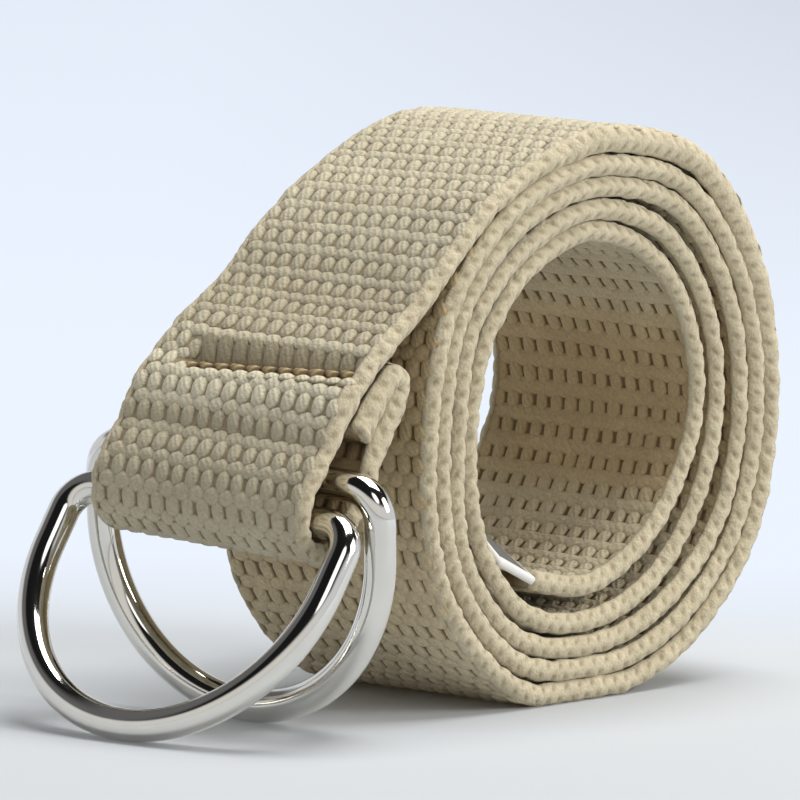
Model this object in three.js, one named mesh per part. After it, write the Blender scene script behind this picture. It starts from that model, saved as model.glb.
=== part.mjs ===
import * as THREE from "three";

// A cotton web belt with two D-rings, rolled into a coil that stands on its outer turn.
// Millimetres, +Z up, +X from the rings towards the coil, +Y across the webbing, away from the side
// on which the turns show. The origin is in the flat of the outer turn, midway across the webbing.

const degrees = Math.PI / 180;

// Webbing: a flat woven band with rounded selvedges
const web = { width: 38, thickness: 2.75 };
const selvedgeRows = [
  // in from the edge, depth as a share of the thickness
  [0.7, 0],
  [0.2, 0.14],
  [0, 0.5],
];
const webStep = { length: 3.6, turn: 12 * degrees }; // the longest step along it and its sharpest bend
const samples = { perSpan: 48, headingReach: 2 }; // fine points between two given ones, and how many give a direction

// Coil: the outer face's distance from the coil's middle at each clock hour, seen from the near side.
// A row is one turn and the next row goes on from it; the last one stops at the tail's tip.
const coilMiddle = 39;
const turnRows = [
  // 12 o'clock, 1, 2, 3, 4, 5, 6, 7, 8, 9, 10, 11
  [41.5, 42.8, 41.2, 40.0, 40.5, 39.7, 39.6, 41.9, 41.7, 38.7, 39.2, 37.7],
  [37.3, 38.3, 37.4, 36.7, 37.1, 36.4, 36.3, 38.1, 37.5, 35.4, 36.1, 34.7],
  [34.3, 35.2, 34.3, 33.5, 33.6, 32.8, 33.0, 34.9, 34.4, 31.6, 32.6, 31.0],
  [31.1, 31.0, 29.9, 28.8, 28.2, 28.7, 29.6, 31.1, 30.2, 28.5, 28.6, 27.8],
  [28.0, 27.2, 26.0, 24.8, 23.3, 23.3, 24.6, 26.4],
];
const hoursPerTurn = 12;
const turnRise = 3; // each turn lies at least this much higher than the one outside it at the coil's foot
const recessPerHour = 0.04; // the turns step away from the near side towards the coil's middle

// Lean: how far the far edge is drawn in, and the near edge stands out, round the coil's left side.
// The turns inside the outer one have only the part that draws the far edge in.
const leanRows = [
  // degrees round the coil's middle from +X over the top, lean
  [75, 0],
  [100, 0.45],
  [125, 0.65],
  [145, 0.2],
  [165, 0],
  [185, 0],
  [210, -0.8],
  [240, -0.6],
  [265, 0],
];
const leanClear = 3; // the height above the floor at which the outer turn has its full lean
const strapLean = { edge: -0.5, low: 36, lowFull: 44, highFull: 50, high: 62 }; // added between these heights

// Strap: the outer face from the fold up to the coil
const strapRows = [
  // x, z
  [-65.6, 33.0],
  [-64.3, 36.0],
  [-61.7, 39.9],
  [-58.6, 43.8],
  [-55.3, 48.0],
  [-51.2, 52.1],
  [-47.4, 54.9],
  [-40.1, 59.8],
  [-34.4, 64.8],
  [-30.2, 68.2],
  [-25.6, 71.5],
  [-21.0, 73.9],
  [-14.4, 76.95],
  [-7.7, 79.15],
];

// Fold around the bars of the rings, and how far the bars stand out of square to the coil
const fold = { x: -60.2, z: 30.85, radius: 5.75, from: -40, to: -170, steps: 5 };
const skew = { yaw: 1.9, roll: 2.4, fullBelow: 33, noneAbove: 49 };

// Flap: the band's doubled end behind the strap, its outer face from the hem down to the fold
const flapRows = [
  // x, z
  [-44.6, 42.7],
  [-46.6, 40.0],
  [-48.1, 37.4],
  [-49.6, 34.4],
  [-53.1, 29.6],
];

// Hem: the band's end turned in between flap and strap, placed along the strap and behind its outer face
const hem = { rawEnd: 14.8, top: 26.2, depth: 3.75, radius: 3.3, swell: 0.9, swellReach: 13 };
const hemTurn = { from: 132, to: -36, steps: 7 }; // the arc over its top, in degrees

// D-rings of round wire: a straight bar, two short legs and an arch
const ring = { wire: 4.5, halfWidth: 24.6, corner: 4.5, legEnd: 9.6, arch: 24.4, sides: 12 };
const ringSteps = { corner: 4, arch: 26, bar: 2 };
const ringRows = [
  // lean is the arch's angle from hanging straight down, towards the strap's open side
  { name: "ring_front", x: -60.35, y: 0.95, lean: 33.5, roll: 2.0 },
  { name: "ring_rear", x: -56.6, y: -0.3, lean: -6.6, roll: 3.4 },
];

// Label: a small folded plate of woven tape, sewn into the tail's tip and twisted towards its free end
const label = { length: 8.4, width: 12, thickness: 1.2, gap: 0.5, rise: 30, twistFrom: 0, twistTo: 34 };
const labelSections = 6;

const smooth = (value, from, to) => THREE.MathUtils.smoothstep(value, from, to);

// The value of a two-column table at a place, eased from row to row
function between(rows, at) {
  const next = rows.findIndex(([place]) => place > at);
  if (next === 0) return rows[0][1];
  if (next < 0) return rows.at(-1)[1];
  const [start, from] = rows[next - 1];
  const [end, to] = rows[next];
  return THREE.MathUtils.lerp(from, to, smooth(at, start, end));
}

// A closed solid through sections that all have the same number of corners, listed the same way round.
// With closed set the last section joins the first; otherwise both ends are capped.
function loft(sections, closed = false) {
  const corners = sections[0].length;
  const faces = [];
  const last = closed ? sections.length : sections.length - 1;
  for (let s = 0; s < last; s++) {
    const here = s * corners;
    const next = ((s + 1) % sections.length) * corners;
    for (let c = 0; c < corners; c++) {
      const d = (c + 1) % corners;
      faces.push(here + c, next + c, next + d, here + c, next + d, here + d);
    }
  }
  const end = (sections.length - 1) * corners;
  for (let c = 1; !closed && c < corners - 1; c++) {
    faces.push(0, c, c + 1);
    faces.push(end, end + c + 1, end + c);
  }
  const geometry = new THREE.BufferGeometry().setFromPoints(sections.flat());
  geometry.setIndex(faces);
  geometry.computeVertexNormals();
  return geometry;
}

// A point behind the strap's outer face, by its distance up the strap from the fold and its depth
function behindStrap(along, depth) {
  const face = new THREE.CatmullRomCurve3(strapRows.map(([x, z]) => new THREE.Vector3(x, 0, z)), false, "centripetal");
  const share = along / face.getLength();
  const place = face.getPointAt(share);
  const up = face.getTangentAt(share);
  return new THREE.Vector3(place.x + up.z * depth, 0, place.z - up.x * depth);
}

// Points of an arc in the XZ plane, clockwise from one angle to the other
function arc(x, z, radius, from, to, steps) {
  return Array.from({ length: steps + 1 }, (_, i) => {
    const angle = (from + ((to - from) * i) / steps) * degrees;
    return new THREE.Vector3(x + radius * Math.cos(angle), 0, z + radius * Math.sin(angle));
  });
}

// The webbing's outer face from the hem's raw end to the tail's tip, as points of one curve.
// onStrap and onCoil are the numbers of the strap's first point and of the coil's top, its first clock hour.
function webPath() {
  const hemMiddle = behindStrap(hem.top, hem.depth + hem.radius);
  const points = [
    behindStrap(hem.rawEnd, hem.depth),
    behindStrap((hem.rawEnd + hem.top) / 2, hem.depth),
    ...arc(hemMiddle.x, hemMiddle.z, hem.radius, hemTurn.from, hemTurn.to, hemTurn.steps),
    ...flapRows.map(([x, z]) => new THREE.Vector3(x, 0, z)),
    ...arc(fold.x, fold.z, fold.radius, fold.from, fold.to, fold.steps),
  ];
  const onStrap = points.length;
  points.push(...strapRows.map(([x, z]) => new THREE.Vector3(x, 0, z)));
  const onCoil = points.length;
  turnRows.flat().forEach((radius, hour) => {
    const angle = (90 - (360 / hoursPerTurn) * hour) * degrees;
    points.push(new THREE.Vector3(radius * Math.cos(angle), 0, coilMiddle + radius * Math.sin(angle)));
  });
  return { points, onStrap, onCoil };
}

// How far the band's far edge is drawn in at a place, by its hour along the coil
function leanAt(place, hour) {
  const turned = Math.atan2(place.z - coilMiddle, place.x) / degrees;
  const edge = between(leanRows, turned < 0 ? turned + 360 : turned);
  if (hour > hoursPerTurn) return Math.max(0, edge);
  if (hour > 0) return edge * smooth(place.z, 0, leanClear);
  const low = smooth(place.z, strapLean.low, strapLean.lowFull);
  return low * (edge + strapLean.edge * (1 - smooth(place.z, strapLean.highFull, strapLean.high)));
}

// Stations along the webbing: the outer face's middle, the band's inward and sideways directions and
// its thickness. They stand closer together where it bends more.
function webStations() {
  const { points, onStrap, onCoil } = webPath();
  const curve = new THREE.CatmullRomCurve3(points, false, "centripetal");
  const spans = points.length - 1;
  const fine = [];
  for (let i = 0; i <= spans * samples.perSpan; i++) {
    const at = i / samples.perSpan;
    const hour = at - onCoil;
    const place = curve.getPoint(at / spans);
    // The outer turn stands flat on its foot and each turn inside it lies on the one before
    const turn = Math.round((hour - hoursPerTurn / 2) / hoursPerTurn);
    if (hour > 0) place.z = Math.max(place.z, turn * turnRise);
    place.y = recessPerHour * Math.max(0, hour - hoursPerTurn);
    fine.push(place);
  }
  const heading = (i) => {
    const a = fine[Math.max(0, i - samples.headingReach)];
    const b = fine[Math.min(fine.length - 1, i + samples.headingReach)];
    return Math.atan2(b.z - a.z, b.x - a.x);
  };
  const inwardFrom = (direction) => new THREE.Vector3(Math.sin(direction), 0, -Math.cos(direction));
  const hemInward = inwardFrom(heading(0)); // the hem and the flap lean with the strap in front of them
  const stations = [];
  let run = 0;
  let sinceLength = Infinity;
  let sinceHeading = 0;
  for (let i = 0; i < fine.length; i++) {
    if (i > 0) {
      const step = fine[i].distanceTo(fine[i - 1]);
      run += step;
      sinceLength += step;
    }
    const bend = Math.abs(Math.sin(heading(i) - sinceHeading));
    const last = i === fine.length - 1;
    if (!last && sinceLength < webStep.length && bend < Math.sin(webStep.turn)) continue;
    const at = i / samples.perSpan;
    const direction = heading(i);
    const inward = inwardFrom(direction);
    const skewShare = at < onCoil ? 1 - smooth(fine[i].z, skew.fullBelow, skew.noneAbove) : 0;
    const across = new THREE.Vector3(0, 1, 0)
      .addScaledVector(at < onStrap ? hemInward : inward, leanAt(fine[i], at - onCoil) / (web.width / 2))
      .add(new THREE.Vector3(-Math.sin(skew.yaw * degrees), 0, Math.sin(skew.roll * degrees)).multiplyScalar(skewShare));
    const thickness = web.thickness + hem.swell * (1 - smooth(run, 0, hem.swellReach));
    stations.push({ place: fine[i], inward, across, thickness });
    sinceLength = 0;
    sinceHeading = direction;
  }
  return stations;
}

// The band's section at a station: flat faces and selvedges rounded by bevels
function webSection({ place, inward, across, thickness }) {
  const upper = selvedgeRows.map(([inFromEdge, depth]) => [web.width / 2 - inFromEdge, depth]);
  const lower = upper.slice(0, -1).map(([w, d]) => [w, 1 - d]).reverse();
  const right = [...upper, ...lower];
  const left = right.map(([w, d]) => [-w, d]).reverse();
  return [...right, ...left].map(([w, d]) =>
    place.clone().addScaledVector(across, w).addScaledVector(inward, d * thickness));
}

// The label's sections, from the tail's tip along its end direction
function labelSolid(tip) {
  const forward = new THREE.Vector3(-Math.cos(label.rise * degrees), 0, Math.sin(label.rise * degrees));
  const inward = new THREE.Vector3(Math.sin(label.rise * degrees), 0, Math.cos(label.rise * degrees));
  const root = tip.place.clone().addScaledVector(tip.inward, web.thickness / 2);
  root.y += label.width / 2 - web.width / 2;
  const sections = [];
  for (let i = 0; i < labelSections; i++) {
    const share = i / (labelSections - 1);
    const twist = THREE.MathUtils.lerp(label.twistFrom, label.twistTo, share) * degrees;
    const across = new THREE.Vector3(0, Math.cos(twist), 0).addScaledVector(inward, Math.sin(twist));
    const through = inward.clone().multiplyScalar(Math.cos(twist)).add(new THREE.Vector3(0, -Math.sin(twist), 0));
    const edge = root.clone().addScaledVector(forward, label.gap + share * label.length);
    edge.y -= label.width / 2;
    sections.push([[0, -0.5], [1, -0.5], [1, 0.5], [0, 0.5]].map(([w, t]) =>
      edge.clone().addScaledVector(across, w * label.width).addScaledVector(through, t * label.thickness)));
  }
  return loft(sections);
}

// A D-ring's middle line in its own plane, bar at depth 0 and arch downwards: [across, depth]
function ringLine() {
  const { halfWidth, corner, legEnd, arch } = ring;
  const half = [];
  for (let i = 0; i < ringSteps.bar; i++) half.push([((halfWidth - corner) * (i + 0.5)) / ringSteps.bar, 0]);
  for (let i = 0; i <= ringSteps.corner; i++) {
    const angle = (90 * i * degrees) / ringSteps.corner;
    half.push([halfWidth - corner * (1 - Math.sin(angle)), corner * (1 - Math.cos(angle))]);
  }
  for (let i = 0; i < ringSteps.arch / 2; i++) {
    const angle = (180 * (i + 0.5) * degrees) / (ringSteps.arch + 1);
    half.push([halfWidth * Math.cos(angle), legEnd + arch * Math.sin(angle)]);
  }
  return [...half, ...half.map(([a, d]) => [-a, d]).reverse()];
}

const ringMetal = new THREE.MeshStandardMaterial({ color: 0xc9c8c4, roughness: 0.16, metalness: 1 });

// A ring as a closed loop of round wire. Its bar lies square to the fold and its arch stands on the floor.
function ringMesh({ name, x, y, lean: angle, roll }) {
  const bar = new THREE.Vector3(
    -Math.sin(skew.yaw * degrees) * Math.cos(roll * degrees),
    Math.cos(skew.yaw * degrees) * Math.cos(roll * degrees),
    Math.sin(roll * degrees),
  );
  const down = new THREE.Vector3(-Math.sin(angle * degrees), 0, -Math.cos(angle * degrees));
  down.addScaledVector(bar, -down.dot(bar)).normalize();
  const out = new THREE.Vector3().crossVectors(down, bar);
  const line = ringLine().map(([a, d]) => new THREE.Vector3().addScaledVector(bar, a).addScaledVector(down, d));
  const lowest = Math.min(...line.map((p) => p.z));
  const middle = new THREE.Vector3(x, y, ring.wire / 2 - lowest);
  const sections = line.map((p, i) => {
    const before = line.at(i - 1);
    const after = line[(i + 1) % line.length];
    const along = after.clone().sub(before).normalize();
    const side = new THREE.Vector3().crossVectors(out, along);
    return Array.from({ length: ring.sides }, (_, k) => {
      const turn = (2 * Math.PI * (k + 0.5)) / ring.sides;
      return p.clone()
        .addScaledVector(out, (Math.cos(turn) * ring.wire) / 2)
        .addScaledVector(side, (Math.sin(turn) * ring.wire) / 2);
    });
  });
  const mesh = new THREE.Mesh(loft(sections, true), ringMetal);
  mesh.name = name;
  mesh.position.copy(middle);
  return mesh;
}

const belt = new THREE.Group();

const stations = webStations();
const webbing = new THREE.Mesh(
  loft(stations.map(webSection)),
  new THREE.MeshStandardMaterial({ color: 0xc9bfa3, roughness: 0.92, metalness: 0 }),
);
webbing.name = "webbing";
belt.add(webbing);

const tag = new THREE.Mesh(
  labelSolid(stations.at(-1)),
  new THREE.MeshStandardMaterial({ color: 0xeceae4, roughness: 0.7, metalness: 0 }),
);
tag.name = "label";
belt.add(tag);

for (const row of ringRows) belt.add(ringMesh(row));

export default belt;
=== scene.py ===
# A cotton web belt with D-rings, rolled into a coil that stands on its outer turn.
# +Z up, +Y across the webbing. Sizes are in millimetres, and those of the studio in metres.
import math

import bpy
import numpy as np
from mathutils import Matrix, Vector


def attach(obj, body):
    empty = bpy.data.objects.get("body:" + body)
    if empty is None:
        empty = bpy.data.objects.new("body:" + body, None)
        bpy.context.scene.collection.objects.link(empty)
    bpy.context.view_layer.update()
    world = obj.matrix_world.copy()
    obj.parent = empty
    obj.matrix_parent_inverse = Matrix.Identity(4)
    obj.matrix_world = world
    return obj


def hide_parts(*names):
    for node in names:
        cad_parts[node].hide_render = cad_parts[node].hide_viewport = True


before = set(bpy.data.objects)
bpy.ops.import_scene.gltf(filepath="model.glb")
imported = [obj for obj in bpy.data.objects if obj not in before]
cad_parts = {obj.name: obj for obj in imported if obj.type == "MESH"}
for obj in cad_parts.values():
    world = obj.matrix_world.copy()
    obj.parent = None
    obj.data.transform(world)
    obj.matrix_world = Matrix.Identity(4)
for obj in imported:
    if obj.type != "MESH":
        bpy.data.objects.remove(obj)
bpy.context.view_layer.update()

mm = 0.001

# The view of the photo: a long lens from the front left, a little above the floor
view = {
    "place": (-1293.4, -1066.6, 242.9),
    "right": (0.64442, -0.76444, 0.01883),
    "up": (0.07977, 0.09170, 0.99259),
    "lens": 540,
    "sensor": 36,
    "clip": (0.05, 30),  # metres
}


def addCamera():
    right = Vector(view["right"]).normalized()
    back = right.cross(Vector(view["up"])).normalized()
    up = back.cross(right)
    lens = bpy.data.cameras.new("photoView")
    lens.lens = view["lens"]
    lens.sensor_width = view["sensor"]
    lens.clip_start, lens.clip_end = view["clip"]
    camera = bpy.data.objects.new("photoView", lens)
    turned = Matrix((right, up, back)).transposed().to_4x4()
    camera.matrix_world = Matrix.Translation(Vector(view["place"]) * mm) @ turned
    bpy.context.scene.collection.objects.link(camera)
    bpy.context.scene.camera = camera
    return back


cameraBack = addCamera()
print("camera placed")


# Node trees: Value wraps an output socket, so that sums are written as sums
class Value:
    def __init__(self, maker, socket):
        self.maker = maker
        self.socket = socket

    def math(self, operation, *others, flip=False):
        values = [self, *others]
        if flip:
            values.reverse()
        return self.maker.add("ShaderNodeMath", {"operation": operation}, dict(enumerate(values)))

    def __add__(self, other):
        return self.math("ADD", other)

    __radd__ = __add__

    def __sub__(self, other):
        return self.math("SUBTRACT", other)

    def __rsub__(self, other):
        return self.math("SUBTRACT", other, flip=True)

    def __mul__(self, other):
        return self.math("MULTIPLY", other)

    __rmul__ = __mul__

    def __pow__(self, other):
        return self.math("POWER", other)


untinted = (1, 1, 1, 1)
fineDetail = 4.0


class NodeMaker:
    def __init__(self, tree):
        self.tree = tree

    def add(self, kind, settings=None, inputs=None, out=0):
        node = self.tree.nodes.new(kind)
        for name, value in (settings or {}).items():
            setattr(node, name, value)
        for name, value in (inputs or {}).items():
            if isinstance(value, Value):
                self.tree.links.new(value.socket, node.inputs[name])
            else:
                node.inputs[name].default_value = value
        return Value(self, node.outputs[out])

    # A colour Mix node's factor is its socket 0, and its colours are sockets 6 and 7
    def mixColours(self, factor, a, b, clamped=True):
        settings = {"data_type": "RGBA", "clamp_factor": clamped}
        return self.add("ShaderNodeMix", settings, {0: factor, 6: a, 7: b}, out=2)

    def combined(self, operation, a, b, out=0):
        return self.add("ShaderNodeVectorMath", {"operation": operation}, {0: a, 1: b}, out)

    def tinted(self, colour, factor, tint, clamped=True):
        return self.combined("MULTIPLY", colour, self.mixColours(factor, untinted, tint, clamped))

    def dot(self, place, way):
        return self.combined("DOT_PRODUCT", place, way, out="Value")

    def place(self):
        return self.add("ShaderNodeTexCoord", out="Object")

    def noise(self, perMillimetre, detail=3.0):
        inputs = {"Vector": self.place(), "Scale": perMillimetre / mm, "Detail": detail}
        return self.add("ShaderNodeTexNoise", None, inputs)

    def axis(self, vector, name):
        return self.add("ShaderNodeSeparateXYZ", None, {"Vector": vector}, out=name)

    def yarnPlace(self):
        uv = self.add("ShaderNodeUVMap", {"uv_map": "yarn"})
        return self.axis(uv, "X"), self.axis(uv, "Y")

    def stored(self, name):
        return self.add("ShaderNodeAttribute", {"attribute_name": name}, out="Fac")

    def bump(self, height, relief, strength=1.0):
        inputs = {"Strength": strength, "Distance": relief * mm, "Height": height}
        return self.add("ShaderNodeBump", None, inputs)


# From 0 at the start to 1 at the end
def ramped(value, start, end):
    return ((value - start) * (1 / (end - start))).math("MAXIMUM", 0.0).math("MINIMUM", 1.0)


# A wave between -1 and 1, once for each whole number
def waved(value):
    return (value * (2 * math.pi)).math("SINE")


def newMaterial(name):
    material = bpy.data.materials.new(name)
    material.use_nodes = True
    material.node_tree.nodes.clear()
    return material, NodeMaker(material.node_tree)


def finishMaterial(material, make, constants, varying):
    shader = make.add("ShaderNodeBsdfPrincipled", None, {**constants, **varying})
    out = make.tree.nodes.new("ShaderNodeOutputMaterial")
    make.tree.links.new(shader.socket, out.inputs["Surface"])
    return material


# Cotton: cream yarns of twisted fibres, with painted shade where a yarn dips out of sight
cotton = {
    "cream": (0.600, 0.548, 0.407, 1),
    "straw": (0.510, 0.462, 0.338, 1),
    "mottle": 0.16,  # patches of the two per millimetre
    "worn": (0.35, 0.7667),  # from where to where in their noise the cream takes over
    "fibre": 2.3,  # fibres per millimetre
    "fibreShade": (0.38, 0.72),  # from where to where in their noise they lie in a hollow
    "grain": 0.40,  # how much darker the hollows between fibres are
    "plyShade": 0.06,  # and those between plies
    "waver": 0.6,  # how far the plies waver, in their own width
    "relief": 0.14,  # height of the plies and fibres
    "plyRise": 0.5,  # the plies' share of it, down and up
    "fibreRise": 1.6,
    # painted shade: the hollows between fibres darken to this colour, and the ground between floats lies
    # between it and the shade colour
    "ground": (0.330, 0.275, 0.180, 1),
    "shade": (0.235, 0.190, 0.118, 1),
    "dip": 0.62,  # how much of the shade colour shows at a float's foot
    "dipMore": 0.1,  # and how much more where the cloth is hidden from the light
    "dipReach": (0.45, 0.05),  # height shares of a float between which it comes in
    "dipCurve": 1.3,
    "browned": (1.0, 0.865, 0.69, 1),  # tint of the cloth that is hidden from the light
    "pressed": (0.70, 0.67, 0.62, 1),  # tint of painted shade, with soil in the squashed row; below zero its share paints light
    "roughness": 0.95,
    "roughnessSpread": 0.1,
    "sheen": 0.15,
    "sheenRoughness": 0.5,
    "specular": 0.15,
}
# The ground under the floats is cotton, too, with its own fibres; its colours are painted shade, browned more
# where it is hidden from the light
groundCloth = {"fibre": 1.6, "fibreShade": (0.3, 0.7), "relief": 0.08, "browned": (0.55, 0.46, 0.34, 1)}
# Sewing thread: tan, of two plies, with painted shade where it goes down into the cloth
thread = {
    "dark": (0.26, 0.185, 0.09, 1),
    "pale": (0.50, 0.385, 0.21, 1),
    "hole": (0.06, 0.036, 0.018, 1),
    "holeReach": (0.26, 0.44),  # from a stitch's middle, in its own length: its painted shade comes in between these
    "plies": (1.0, 2.0),  # across a stitch, and how far they slant along it
    "relief": 0.05,
    "roughness": 0.8,
}
# The same two numbers for a float and for a selvedge's cord
floatPlies = (3.0, 2.0)
selvedgePlies = (1.0, 0.0)


def cottonMaterial(name, plies):
    material, make = newMaterial(name)
    patches = make.noise(cotton["mottle"])
    fibres = make.noise(cotton["fibre"], fineDetail)
    across, along = make.yarnPlace()
    strands = waved(across * plies[0] + along * plies[1] + (patches - 0.5) * cotton["waver"]) * 0.5 + 0.5
    colour = make.mixColours(ramped(patches, *cotton["worn"]), cotton["straw"], cotton["cream"])
    grain = (1 - strands) * cotton["plyShade"] + ramped(fibres, *cotton["fibreShade"]) * cotton["grain"]
    colour = make.mixColours(grain, colour, cotton["ground"])
    # painted shade at a float's foot, more where the cloth is hidden from the light
    dip = ramped(make.stored("rise"), *cotton["dipReach"]) ** cotton["dipCurve"]
    browned = make.stored("browned")
    colour = make.mixColours(dip * (browned * cotton["dipMore"] + cotton["dip"]), colour, cotton["shade"])
    colour = make.tinted(colour, browned, cotton["browned"])
    # painted shade by the pressed values, with soil in the squashed row; below zero they paint light
    colour = make.tinted(colour, make.stored("pressed"), cotton["pressed"], clamped=False)
    spread = cotton["roughnessSpread"]
    constants = {
        "Sheen Weight": cotton["sheen"],
        "Sheen Roughness": cotton["sheenRoughness"],
        "Specular IOR Level": cotton["specular"],
    }
    varying = {
        "Base Color": colour,
        "Roughness": fibres * spread + (cotton["roughness"] - spread / 2),
        "Normal": make.bump(strands * cotton["plyRise"] + fibres * cotton["fibreRise"], cotton["relief"]),
    }
    return finishMaterial(material, make, constants, varying)


def groundMaterial():
    material, make = newMaterial("cottonGround")
    fibres = make.noise(groundCloth["fibre"])
    shade = ramped(fibres, *groundCloth["fibreShade"])
    colour = make.mixColours(shade, cotton["shade"], cotton["ground"])
    colour = make.tinted(colour, make.stored("browned"), groundCloth["browned"])
    constants = {"Roughness": cotton["roughness"], "Specular IOR Level": cotton["specular"]}
    varying = {"Base Color": colour, "Normal": make.bump(fibres, groundCloth["relief"])}
    return finishMaterial(material, make, constants, varying)


def threadMaterial():
    material, make = newMaterial("sewingThread")
    across, along = make.yarnPlace()
    plies = waved(across * thread["plies"][0] + along * thread["plies"][1]) * 0.5 + 0.5
    colour = make.mixColours(plies, thread["dark"], thread["pale"])
    hole = ramped((along - 0.5).math("ABSOLUTE"), *thread["holeReach"])
    varying = {
        "Base Color": make.mixColours(hole, colour, thread["hole"]),
        "Normal": make.bump(plies, thread["relief"]),
    }
    return finishMaterial(material, make, {"Roughness": thread["roughness"]}, varying)


floatCotton = cottonMaterial("cottonFloats", floatPlies)
selvedgeCotton = cottonMaterial("cottonSelvedge", selvedgePlies)
groundCotton = groundMaterial()
sewingThread = threadMaterial()

# The band's path, as in the part's source: the hem, the flap behind the strap, the fold round the rings'
# bars, the strap, and the coil's turns
band = {"width": 38.0, "thickness": 2.75, "ground": 0.38}  # the ground lies this deep under each face
coilMiddle = 39.0
hoursPerTurn = 12
turnRise = 3.0  # each turn stays at least this much higher above the floor than the one outside it
recessPerHour = 0.04  # and the turns step back by this
turnRows = [
    # 12 o'clock, 1, 2, 3, 4, 5, 6, 7, 8, 9, 10, 11
    [41.5, 42.8, 41.2, 40.0, 40.5, 39.7, 39.6, 41.9, 41.7, 38.7, 39.2, 37.7],
    [37.3, 38.3, 37.4, 36.7, 37.1, 36.4, 36.3, 38.1, 37.5, 35.4, 36.1, 34.7],
    [34.3, 35.2, 34.3, 33.5, 33.6, 32.8, 33.0, 34.9, 34.4, 31.6, 32.6, 31.0],
    [31.1, 31.0, 29.9, 28.8, 28.2, 28.7, 29.6, 31.1, 30.2, 28.5, 28.6, 27.8],
    [28.0, 27.2, 26.0, 24.8, 23.3, 23.3, 24.6, 26.4],
]
leanRows = [
    # degrees round the coil's middle, how much further in the far edge lies than the band's middle
    (75, 0), (100, 0.45), (125, 0.65), (145, 0.2), (165, 0), (185, 0), (210, -0.8), (240, -0.6), (265, 0),
]
leanClear = 3.0  # the outer turn leans in full from this height up, clear of the floor
strapLean = {"edge": -0.5, "low": 36, "lowFull": 44, "highFull": 50, "high": 62}  # between these heights
strapRows = [
    # x, z
    (-65.6, 33.0), (-64.3, 36.0), (-61.7, 39.9), (-58.6, 43.8), (-55.3, 48.0), (-51.2, 52.1), (-47.4, 54.9),
    (-40.1, 59.8), (-34.4, 64.8), (-30.2, 68.2), (-25.6, 71.5), (-21.0, 73.9), (-14.4, 76.95), (-7.7, 79.15),
]
fold = {"x": -60.2, "z": 30.85, "radius": 5.75, "from": -40, "to": -170, "steps": 5}
skew = {"yaw": 1.9, "roll": 2.4, "fullBelow": 33, "noneAbove": 49}  # the fold is turned with the rings' bars
flapRows = [
    # x, z
    (-44.6, 42.7), (-46.6, 40.0), (-48.1, 37.4), (-49.6, 34.4), (-53.1, 29.6),
]
hem = {"rawEnd": 14.8, "top": 26.2, "depth": 3.75, "radius": 3.3, "swell": 0.9, "swellReach": 13}
hemTurn = {"from": 132, "to": -36, "steps": 7}
samplesPerSpan = 48
samplesPerMillimetre = 5
headingReach = 1.2  # the band's direction is evened out over this
slopeReach = 0.05  # and the strap's is taken over this, to each side


# From 0 at the start to 1 at the end, level at both
def smooth(value, start, end):
    share = np.clip((value - start) / (end - start), 0, 1)
    return share * share * (3 - 2 * share)


def between(rows, at):
    result = np.full(len(at), float(rows[0][1]))
    for (start, low), (end, high) in zip(rows, rows[1:]):
        result = np.where(at >= start, low + (high - low) * smooth(at, start, end), result)
    return result


# A centripetal Catmull-Rom curve through points, with the same number of samples on each span
def throughPoints(points, perSpan):
    p = np.array(points, float)
    p = np.vstack([2 * p[0] - p[1], p, 2 * p[-1] - p[-2]])
    w = np.arange(perSpan)[:, None] / perSpan
    spans = []
    for i in range(1, len(p) - 2):
        a, b, c, d = p[i - 1], p[i], p[i + 1], p[i + 2]
        ta, tb, tc = (max(float(np.linalg.norm(v - u)), 1e-8) ** 0.5 for u, v in ((a, b), (b, c), (c, d)))
        m = tb * ((b - a) / ta - (c - a) / (ta + tb) + (c - b) / tb)
        n = tb * ((c - b) / tb - (d - b) / (tb + tc) + (d - c) / tc)
        spans.append(b + m * w + (3 * (c - b) - 2 * m - n) * w**2 + (2 * (b - c) + m + n) * w**3)
    return np.vstack([*spans, p[-2:-1]])


def lengthsAlong(points):
    return np.concatenate([[0], np.cumsum(np.linalg.norm(np.diff(points, axis=0), axis=1))])


strapCurve = throughPoints(strapRows, samplesPerSpan)
strapLengths = lengthsAlong(strapCurve)


# A point behind the strap: along it from its foot, and in from its outer face
def behindStrap(along, depth):
    steps = (-slopeReach, slopeReach)
    ends = [[np.interp(along + step, strapLengths, strapCurve[:, k]) for k in range(2)] for step in steps]
    up = np.subtract(ends[1], ends[0])
    up = up / np.linalg.norm(up)
    middle = np.add(ends[0], ends[1]) / 2
    return middle[0] + up[1] * depth, middle[1] - up[0] * depth


def arcPoints(x, z, radius, turn):
    angles = np.radians(np.linspace(turn["from"], turn["to"], turn["steps"] + 1))
    return [(x + radius * math.cos(a), z + radius * math.sin(a)) for a in angles]


def bandPoints():
    hemX, hemZ = behindStrap(hem["top"], hem["depth"] + hem["radius"])
    rawEnd, top, depth = hem["rawEnd"], hem["top"], hem["depth"]
    points = [behindStrap(along, depth) for along in (rawEnd, (rawEnd + top) / 2)]
    points += arcPoints(hemX, hemZ, hem["radius"], hemTurn)
    points += flapRows
    points += arcPoints(fold["x"], fold["z"], fold["radius"], fold)
    onStrap = len(points)
    points += strapRows
    onCoil = len(points)
    for hour, radius in enumerate(r for row in turnRows for r in row):
        angle = math.radians(90 - 360 / hoursPerTurn * hour)
        points.append((radius * math.cos(angle), coilMiddle + radius * math.sin(angle)))
    return points, onStrap, onCoil


# Degrees round the coil's middle
def roundCoil(place):
    return np.degrees(np.arctan2(place[:, 2] - coilMiddle, place[:, 0]))


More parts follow.
